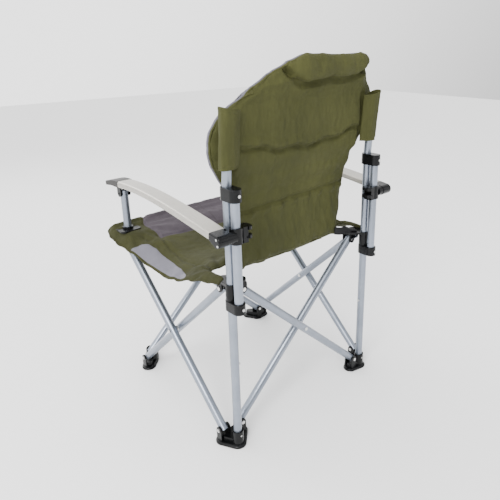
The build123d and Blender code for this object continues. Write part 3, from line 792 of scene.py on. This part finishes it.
def pocket(side, sign):
    rows, around = pocketLook["rows"], pocketLook["around"]
    points = []
    for inner in (0, 1):
        for j in range(rows + 1):
            v = j / rows
            z = pocketLook["low"] + (pocketLook["high"] - pocketLook["low"]) * v
            lean = math.tan(pocketLook["lean"]) * (z - pocketLook["bend"])
            centre = Vector((sign * (postSide - pocketLook["inward"]), postLine + lean, z))
            for i in range(around):
                a = 2 * math.pi * i / around
                where = Vector((math.cos(a) * 2, math.sin(a) * 2, z * 30 + sign))
                pucker = pocketLook["pucker"] * noise.noise(where)
                gather = 0.0012 * groove(v - 0.04, 0.05) + 0.0008 * groove(v - 0.93, 0.03)
                away = (pucker - gather) * (1 - inner) - pocketLook["wall"] * inner
                flare = pocketLook["flare"] * smooth(0.8, 1.0, v)
                wide = pocketLook["halfWide"] + away + flare
                deep = pocketLook["halfDeep"] + away + flare
                web = max(0.0, -math.cos(a) * sign) ** 3
                spot = pocketRing(centre, a, wide, deep * (1 - pocketLook["webThin"] * web))
                reach = pocketLook["web"][sign]
                spot += Vector((-sign * reach * web, -pocketLook["webAhead"] * web, 0))
                spot.z += pocketLook["tilt"] * math.cos(a) * sign * smooth(0.75, 1.0, v)
                points.append(spot)
    faces = []
    layer = (rows + 1) * around
    for j in range(rows):
        for i in range(around):
            n = (i + 1) % around
            a, b, c, d = j * around + i, j * around + n, (j + 1) * around + n, (j + 1) * around + i
            faces.append((a, b, c, d))
            faces.append((layer + d, layer + c, layer + b, layer + a))
    for i in range(around):
        n = (i + 1) % around
        faces.append((n, i, layer + i, layer + n))
        top = rows * around
        faces.append((top + i, top + n, layer + top + n, layer + top + i))
    return addMesh("postPocket_" + side, points, faces, [olive])


for side, sign in (("left", 1), ("right", -1)):
    piece = pocket(side, sign)
    subdivide(piece)
    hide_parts("back_sleeve_" + side)
    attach(piece, "rear_" + side + "_leg")
print("pockets done")


strapLook = {
    "hub": Vector((0.2375, 0.232, 0.4728)),
    "hem": Vector((0.176, 0.2015, 0.4775)),
    "wide": 0.024,
    "thick": 0.0018,
    "wave": 0.0030,
    "steps": 28,
}


def strap(side, sign):
    start, end = strapLook["hub"], strapLook["hem"]
    run = (end - start).normalized()
    points = []
    for k in range(strapLook["steps"] + 1):
        t = k / strapLook["steps"]
        centre = start.lerp(end, t)
        centre.z += strapLook["wave"] * math.sin(math.pi * t) * math.sin(5 * t + 0.4)
        upright = smooth(0.15, 0.75, t)
        across = Vector((-run.y, run.x, 0)).normalized() * (1 - upright) + Vector((0, 0.1, 1)) * upright
        across = across.normalized() * strapLook["wide"] / 2
        out = run.cross(across).normalized() * strapLook["thick"] / 2
        for edge, face in ((-1, -1), (0, -1), (1, -1), (1, 1), (0, 1), (-1, 1)):
            spot = centre + across * edge + out * face * (1.25 if edge == 0 else 0.8)
            points.append(Vector((spot.x * sign, spot.y, spot.z)))
    faces = []
    for k in range(strapLook["steps"]):
        for s in range(6):
            t = (s + 1) % 6
            faces.append((k * 6 + s, k * 6 + t, k * 6 + 6 + t, k * 6 + 6 + s))
    faces.append(tuple(range(6)))
    faces.append(tuple(strapLook["steps"] * 6 + s for s in reversed(range(6))))
    if sign > 0:
        faces = [tuple(reversed(face)) for face in faces]
    return addMesh("backStrap_" + side, points, faces, [webbing])


for side, sign in (("left", 1), ("right", -1)):
    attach(strap(side, sign), "rear_" + side + "_hub")
print("straps done")


seatLook = {
    "rows": 110,
    "columns": 132,
    "thick": 0.010,
    "frontEdge": -0.525,
    "backEdge": -0.0855,
    "tabEdge": -0.018,
    "edgeHalf": 0.002,
    "edgeBand": 0.05,
    "sag": 0.010,
    "hemCurve": 1.7,
    "halfGap": 0.0002,     # each half is cut this far from the centre line
    "line": [(-0.525, 0.487), (-0.508, 0.4955), (-0.490, 0.4875), (-0.47, 0.4795), (-0.445, 0.4785),
             (-0.38, 0.463), (-0.27, 0.447), (-0.17, 0.456), (-0.09, 0.477), (-0.018, 0.4785)],
    "hem": [(-0.525, 0.474), (-0.488, 0.463), (-0.455, 0.451), (-0.40, 0.440), (-0.332, 0.424),
            (-0.236, 0.416), (-0.193, 0.424), (-0.122, 0.447), (-0.077, 0.462), (-0.018, 0.470)],
    "turn": [(-0.525, 0.290), (-0.445, 0.282), (-0.40, 0.245), (-0.30, 0.205), (-0.20, 0.212),
             (-0.11, 0.235), (-0.06, 0.262), (-0.018, 0.264)],
    "reach": [(-0.525, 0.304), (-0.500, 0.309), (-0.47, 0.306), (-0.43, 0.299), (-0.33, 0.290),
              (-0.236, 0.285), (-0.12, 0.286), (-0.07, 0.284), (-0.018, 0.276)],
    "panel": [(-0.525, 0.190), (-0.469, 0.213), (-0.405, 0.209), (-0.30, 0.222), (-0.20, 0.236),
              (-0.0855, 0.242)],
    "patch": [(-0.405, 0.0), (-0.392, 0.25), (-0.37, 0.42), (-0.33, 0.53), (-0.27, 0.54), (-0.225, 0.56),
              (-0.20, 0.46), (-0.175, 0.32), (-0.158, 0.2), (-0.148, 0.0)],
    "patchSteps": (90, 16),
    "patchLift": (0.0002, 0.0011),
    "panelRows": 0.318,
    "panelShare": 0.56,
    "puff": {"frames": 14, "pressure": 2.0, "stiffness": 25.0, "bending": 0.8, "cap": 0.0035},
}
seatFolds = {"panelSeam": 0.0032, "crossSeam": 0.0035, "rearFan": 0.0028, "frontFan": 0.0016,
             "slack": 0.0018, "grain": 0.0010}


def seatDepth(u, v):
    rear = seatLook["backEdge"]
    rear += (seatLook["tabEdge"] - rear) * smooth(0.70, 0.80, abs(u))
    return seatLook["frontEdge"] + (rear - seatLook["frontEdge"]) * v


def seatPoint(u, v, side):
    y = seatDepth(u, v)
    share = seatLook["panelShare"]
    reach = easedRamp(seatLook["reach"], y)
    inner = min(easedRamp(seatLook["panel"], y), reach - 0.03)
    across = abs(u)
    if across <= share:
        x = inner * across / share
    else:
        x = inner + (reach - inner) * (across - share) / (1 - share)
    turn = easedRamp(seatLook["turn"], y)
    level = easedRamp(seatLook["line"], y)
    drop = level - easedRamp(seatLook["hem"], y)
    past = max(0.0, (x - turn) / (reach - turn))
    z = level - drop * past ** seatLook["hemCurve"]
    z -= seatLook["sag"] * (1 - min(1.0, x / 0.2) ** 2) * smooth(-0.44, -0.36, y) * smooth(-0.09, -0.16, y)
    edge = min(1 - across, v * 0.9, (1 - v) * 0.9)
    half = seatLook["edgeHalf"]
    if edge > 0:
        half += (seatLook["thick"] / 2 - half) * math.sqrt(min(1.0, edge / seatLook["edgeBand"]))
    return Vector((math.copysign(x, u) if u else 0.0, postLine + y, z + side * half))


def seatPick(u, v, side):
    across = abs(u)
    return 1 if side > 0 and across < seatLook["panelShare"] and v < seatLook["panelRows"] else 0


seat = shellFromGrid(
    "seatWhole", seatLook["rows"], seatLook["columns"], seatPoint, [seatOlivePaintedShade, seatGrey], seatPick)
puffUp(seat, seatLook["puff"])
subdivide(seat)
print("seat puffed")

# where the grey panel ends
seatCrossY = seatLook["frontEdge"] + (seatLook["backEdge"] - seatLook["frontEdge"]) * seatLook["panelRows"]


def seatRelief(point, normal):
    x, y, z = point
    y -= postLine
    if normal.z < 0.05:
        return 0.0
    depth = 0.0
    side = abs(x)
    panel = min(easedRamp(seatLook["panel"], y), 0.3)
    depth -= seatFolds["panelSeam"] * groove(side - panel, 0.009)
    inside = smooth(panel + 0.002, panel - 0.01, side)
    depth -= seatFolds["crossSeam"] * groove(y - seatCrossY, 0.010) * inside
    # folds that fan out from the rear hub
    corner = Vector((side - 0.25, y + 0.05))
    angle = math.atan2(corner.y, corner.x)
    far = corner.length
    fan = math.sin(angle * 15 + 2 * noise.noise(Vector((x * 12, y * 12, 0))))
    depth += seatFolds["rearFan"] * fan * smooth(0.03, 0.07, far) * smooth(0.2, 0.1, far)
    # and from the front corner
    corner = Vector((side - 0.262, y + 0.475))
    angle = math.atan2(corner.y, corner.x)
    far = corner.length
    fan = math.sin(angle * 17)
    depth += seatFolds["frontFan"] * fan * smooth(0.045, 0.08, far) * smooth(0.2, 0.12, far)
    depth += seatFolds["slack"] * noise.noise(Vector((x * 24, y * 14, 1.3))) * smooth(0.05, 0.09, far)
    depth += seatFolds["grain"] * noise.noise(Vector((x * 60, y * 60, 4.0))) * smooth(0.05, 0.09, far)
    return depth


pushAlongNormals(seat, seatRelief)


def sewnPatch(name, sign, surface, settings):
    # light mesh patch lying on the seat beside the hem, with a rolled edge
    tree = surfaceTree(surface)
    first, last = settings["patch"][0][0], settings["patch"][-1][0]
    length, width = settings["patchSteps"]
    low, high = settings["patchLift"]
    share = settings["panelShare"]
    verts = []
    edge = []
    for i in range(length + 1):
        y = first + (last - first) * i / length
        height = ramp(settings["patch"], y)
        for j in range(width + 1):
            across = 1 - (0.02 + height * j / width) * (1 - share)
            v = (y - settings["frontEdge"]) / (settings["tabEdge"] - settings["frontEdge"])
            guess = seatPoint(sign * across, v, 1) + Vector((0, 0, 0.004))
            spot, normal = tree.find_nearest(guess)[:2]
            rim = min(1.0, min(j, width - j, i, length - i) / 2)
            verts.append(spot + normal * (low + high * rim))
        edge.append(verts[-1].copy())
    faces = []
    for i in range(length):
        for j in range(width):
            a = i * (width + 1) + j
            faces.append((a, a + 1, a + width + 2, a + width + 1))
    if sign < 0:
        faces = [tuple(reversed(face)) for face in faces]
    patch = addMesh(name, verts, faces, [greyMesh])
    seam = stitchLine(name + "Stitch", edge, surface, thread)
    return patch, seam


def halfOf(whole, sign, name):
    # one half of a piece, cut and closed on the centre line
    mesh = whole.data.copy()
    mesh.name = name
    bm = bmesh.new()
    bm.from_mesh(mesh)
    geometry = bm.verts[:] + bm.edges[:] + bm.faces[:]
    place = (sign * seatLook["halfGap"], 0, 0)
    cut = bmesh.ops.bisect_plane(
        bm, geom=geometry, plane_co=place, plane_no=(-sign, 0, 0), clear_outer=True)
    loops = [e for e in cut["geom_cut"] if isinstance(e, bmesh.types.BMEdge)]
    bmesh.ops.holes_fill(bm, edges=loops)
    bmesh.ops.recalc_face_normals(bm, faces=bm.faces)
    bm.to_mesh(mesh)
    bm.free()
    piece = bpy.data.objects.new(name, mesh)
    bpy.context.scene.collection.objects.link(piece)
    return piece


def crossEdge(sign, v, half):
    # front or rear edge of one half, from its corner to just short of the centre line
    steps = 60
    line = [seatPoint(sign * (0.995 - 0.97 * k / steps), v, 0) for k in range(steps + 1)]
    return settled(line, half, 0.001)


for side, sign in (("left", 1), ("right", -1)):
    half = halfOf(seat, sign, "seatSling_" + side)
    hem = settled([seatPoint(sign * 1.0, k / 80, 0) for k in range(81)], half, 0.001)
    # the seat's hems take the same darker olive with painted shade
    hemPiping = tubeAlong("seatHem_" + side, hem, 0.003, seatOlivePaintedShade)
    rearPiping = tubeAlong("seatRearHem_" + side, crossEdge(sign, 1.0, half), 0.003, seatOlivePaintedShade)
    frontPiping = tubeAlong("seatFrontHem_" + side, crossEdge(sign, 0.0, half), 0.0032, seatOlivePaintedShade)
    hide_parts("seat_" + side)
    patch, patchSeam = sewnPatch("seatPatch_" + side, sign, seat, seatLook)
    for piece in (half, hemPiping, rearPiping, frontPiping, patch, patchSeam):
        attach(piece, side + "_seat")
        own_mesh(piece)
bpy.data.objects.remove(seat)
print("seat done")


stageLook = {
    "floorHalf": 8,
    "floorShade": 0.9,
    "brightSide": 2.6,                     # strength of the studio on its bright side
    "dimSide": 0.35,
    "brightTowards": (0.55, -0.75, 0.5),
    "lights": {
        "keyLight": {"place": (2.3, 1.3, 2.3), "target": (0, 0.1, 0.5), "size": 1.0, "power": 95},
        "fillLight": {"place": (-2.0, 2.4, 1.6), "target": (0, 0, 0.5), "size": 2.0, "power": 26},
        "frontLight": {"place": (0.5, -2.6, 2.2), "target": (0, 0, 0.5), "size": 2.0, "power": 45},
    },
}


def addFloor():
    mesh = bpy.data.meshes.new("floor")
    half, shade = stageLook["floorHalf"], stageLook["floorShade"]
    mesh.from_pydata([(-half, -half, 0), (half, -half, 0), (half, half, 0), (-half, half, 0)],
                     [], [(0, 1, 2, 3)])
    floor = bpy.data.objects.new("floor", mesh)
    bpy.context.scene.collection.objects.link(floor)
    material, tree, shader = nodeMaterial("paleFloor", 0.9, specular=0.1)
    shader.inputs["Base Color"].default_value = (shade, shade, shade, 1)
    mesh.materials.append(material)


def addLight(name, settings):
    light = bpy.data.lights.new(name, "AREA")
    light.shape = "SQUARE"
    light.size = settings["size"]
    light.energy = settings["power"]
    lamp = bpy.data.objects.new(name, light)
    lamp.location = settings["place"]
    aim = Vector(settings["target"]) - Vector(settings["place"])
    lamp.rotation_euler = aim.to_track_quat("-Z", "Y").to_euler()
    bpy.context.scene.collection.objects.link(lamp)


def addWorld():
    # soft studio that is brighter on one side
    world = bpy.data.worlds.new("studio")
    world.use_nodes = True
    tree = world.node_tree
    coordinate = tree.nodes.new("ShaderNodeTexCoord")
    turned = tree.nodes.new("ShaderNodeVectorMath")
    turned.operation = "DOT_PRODUCT"
    turned.inputs[1].default_value = Vector(stageLook["brightTowards"]).normalized()
    link(tree, coordinate, "Generated", turned, "Vector")
    strength = tree.nodes.new("ShaderNodeMapRange")
    strength.interpolation_type = "SMOOTHSTEP"
    strength.inputs["From Min"].default_value = -0.75
    strength.inputs["From Max"].default_value = 0.55
    strength.inputs["To Min"].default_value = stageLook["dimSide"]
    strength.inputs["To Max"].default_value = stageLook["brightSide"]
    link(tree, turned, "Value", strength, "Value")
    background = tree.nodes["Background"]
    background.inputs["Color"].default_value = (1, 1, 1, 1)
    link(tree, strength, "Result", background, "Strength")
    bpy.context.scene.world = world


cameraLook = {
    "place": (0.9186, 0.8996 + postLine, 1.0199),
    "azimuth": 135.31,
    "elevation": 18.92,
    "lens": 37.4,
    "shift": (-0.0957, -0.0682),
}


def addCamera():
    azimuth = math.radians(cameraLook["azimuth"])
    elevation = math.radians(cameraLook["elevation"])
    level = math.cos(elevation)
    toCamera = Vector((math.sin(azimuth) * level, -math.cos(azimuth) * level, math.sin(elevation)))
    data = bpy.data.cameras.new("camera")
    data.lens = cameraLook["lens"]
    data.sensor_width = 36
    data.shift_x, data.shift_y = cameraLook["shift"]
    camera = bpy.data.objects.new("camera", data)
    camera.location = cameraLook["place"]
    camera.rotation_euler = (-toCamera).to_track_quat("-Z", "Y").to_euler()
    bpy.context.scene.collection.objects.link(camera)
    bpy.context.scene.camera = camera


addFloor()
addWorld()
for name, settings in stageLook["lights"].items():
    addLight(name, settings)
addCamera()
print("stage lit")

print("scene ready")
